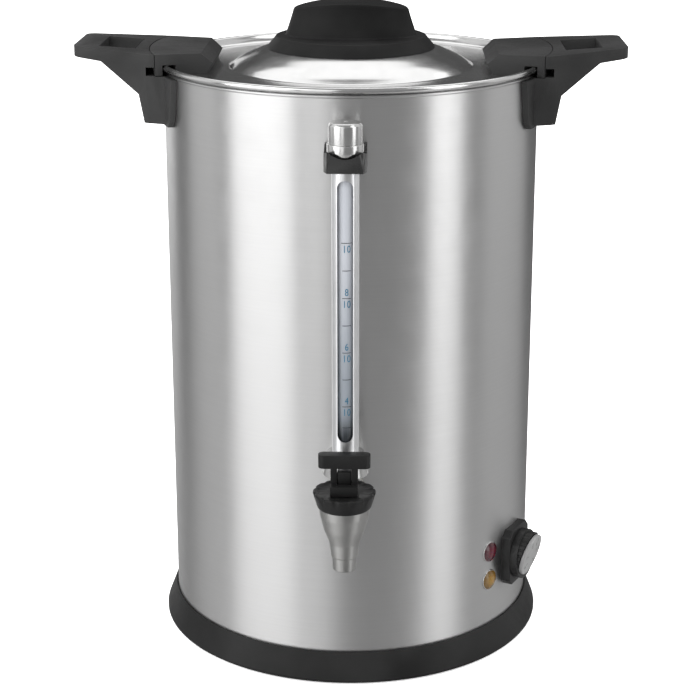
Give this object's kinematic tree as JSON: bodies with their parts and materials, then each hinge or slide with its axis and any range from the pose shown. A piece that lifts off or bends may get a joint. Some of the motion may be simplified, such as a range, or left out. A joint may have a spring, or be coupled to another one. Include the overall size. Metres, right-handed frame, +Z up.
{
  "type": "coffee urn",
  "caption": "Cylindrical double-wall coffee urn with a spring tap, sight gauge, side handles, thermostat dial, lift-off lid and a percolating basket inside.",
  "frame": {"origin": "where the tank's axis meets the counter that the rubber feet stand on", "axes": "+Z up along the tank's axis, -Y towards the tap, handles along +X and -X"},
  "size_m": [0.392, 0.3456, 0.4683],
  "materials": {
    "brushed_steel": "brushed, satin",
    "polished_steel": "fine brushed, bright",
    "chrome": "bright plated",
    "tank_steel": "drawn sheet, satin",
    "black_plastic": "fine moulded grain",
    "base_plastic": "fine moulded grain",
    "inner_plastic": "plain moulded",
    "pale_plastic": "satin",
    "terminal_plastic": "plain moulded",
    "wire_sheath": "plain",
    "rubber": "matt",
    "silicone": "matt, translucent",
    "glass": "clear tube",
    "lens_red": "translucent moulded",
    "lens_amber": "translucent moulded",
    "scale_print": "clear printed film",
    "aluminium": "cast, plain",
    "brass": "turned",
    "zinc_steel": "zinc plated",
    "copper": "drawn tube"
  },
  "bodies": {
    "urn": {"base_ring": "base_plastic", "bottom_cover": "zinc_steel", "rubber_feet": "rubber", "foot_screws": "zinc_steel", "tie_rods": "zinc_steel", "tie_nuts": "zinc_steel", "outer_shell": "brushed_steel", "inner_tank": "tank_steel", "heater_plate": "aluminium", "heating_element": "zinc_steel", "keep_warm_element": "zinc_steel", "thermal_cutout": "inner_plastic", "thermostat": "zinc_steel", "capillary": "copper", "terminal_block": "terminal_plastic", "wiring": "wire_sheath", "handle_left": "black_plastic", "handle_right": "black_plastic", "handle_screws": "zinc_steel", "power_inlet": "inner_plastic", "inlet_pins": "brass", "inlet_screws": "zinc_steel", "lamp_bezels": "chrome", "lamp_lens_red": "lens_red", "lamp_lens_amber": "lens_amber", "lamp_bodies": "inner_plastic", "dial_plate": "black_plastic", "plate_screws": "zinc_steel", "tap_body": "chrome", "tap_gaskets": "silicone", "tap_lock_nut": "chrome", "tap_bonnet": "black_plastic", "valve_spring": "tank_steel", "gauge_nut": "chrome", "sight_glass": "glass", "sight_seals": "silicone", "level_scale": "scale_print", "sight_shield": "chrome", "sight_collar": "chrome", "sight_cap": "chrome", "sight_clamp": "black_plastic", "clamp_screw": "zinc_steel"},
    "lid_seal": {"lid_gasket": "silicone"},
    "lid": {"lid_pan": "polished_steel", "lid_lug_left": "black_plastic", "lid_lug_right": "black_plastic", "lug_screws": "zinc_steel", "lid_knob": "black_plastic", "knob_screws": "zinc_steel"},
    "brewer": {"pump_tube": "tank_steel", "coffee_basket": "tank_steel", "basket_cover": "tank_steel"},
    "stem": {"valve_stem": "tank_steel", "seat_cup": "silicone"},
    "lever": {"tap_lever": "black_plastic", "lever_pin": "tank_steel"},
    "dial": {"dial_knob": "black_plastic", "dial_face": "pale_plastic", "dial_spindle": "zinc_steel"}
  },
  "joints": [
    {"name": "lid_lift", "type": "slide", "parent": "urn", "child": "lid_seal", "axis": [0, 0, 1], "range_m": [0, 0.4]},
    {"name": "lid_turn", "type": "hinge", "parent": "lid_seal", "child": "lid", "pos_m": [0, 0, 0.422], "axis": [0, 0, 1], "range_deg": [-30, 30]},
    {"name": "brewer_lift", "type": "slide", "parent": "urn", "child": "brewer", "axis": [0, 0, 1], "range_m": [0, 0.34]},
    {"name": "stem_lift", "type": "slide", "parent": "urn", "child": "stem", "axis": [0, 0, 1], "range_m": [0, 0.00768], "stiffness_N_per_m": 250, "springref_m": -0.01, "deforming": ["valve_spring"]},
    {"name": "lever_tilt", "type": "hinge", "parent": "stem", "child": "lever", "pos_m": [0, -0.181, 0.1683], "axis": [1, 0, 0], "range_deg": [0, 40]},
    {"name": "dial_turn", "type": "hinge", "parent": "urn", "child": "dial", "pos_m": [0.12134, -0.05918, 0.068], "axis": [0.8988, -0.4384, 0], "range_deg": [-270, 0]}
  ],
  "couplings": [
    {"joint": "brewer_lift", "follows": "lid_lift", "ratio": 0.85},
    {"joint": "lever_tilt", "follows": "stem_lift", "rad_per_m": 90.9}
  ]
}
